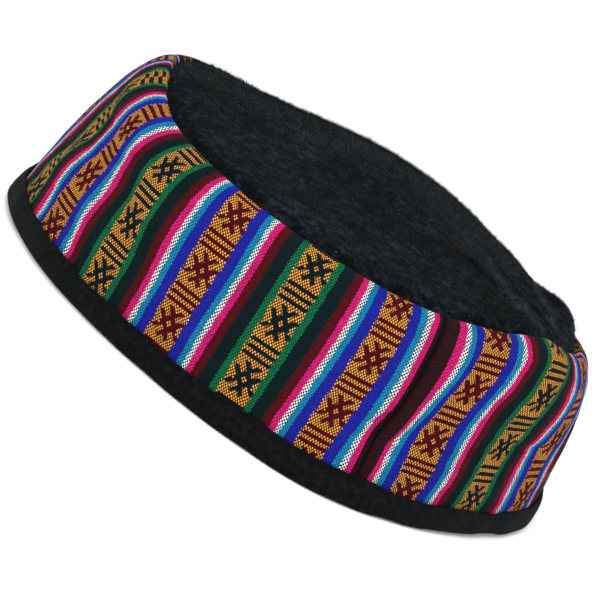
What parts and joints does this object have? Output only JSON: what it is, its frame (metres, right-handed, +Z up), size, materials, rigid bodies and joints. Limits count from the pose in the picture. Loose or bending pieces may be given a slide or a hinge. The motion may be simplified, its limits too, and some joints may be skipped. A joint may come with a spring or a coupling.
{
  "type": "smoking cap",
  "caption": "Round low smoking cap: a padded striped woven band leaning inwards, a domed black fleece crown and a black cotton hem binding.",
  "frame": {"origin": "middle of the cap's bounding box at its bottom, on the surface that the hem rests on", "axes": "+Z up through the crown, -Y towards the side that the picture shows, +X to the right in the picture"},
  "size_m": [0.1966, 0.1978, 0.0688],
  "materials": {
    "hem_binding": "matte black cotton binding",
    "band": "warp-faced woven cotton stripes with small woven figures",
    "crown": "brushed black fleece"
  },
  "bodies": {
    "root": {"hem_binding": "hem_binding", "band": "band", "crown": "crown"}
  },
  "joints": []
}
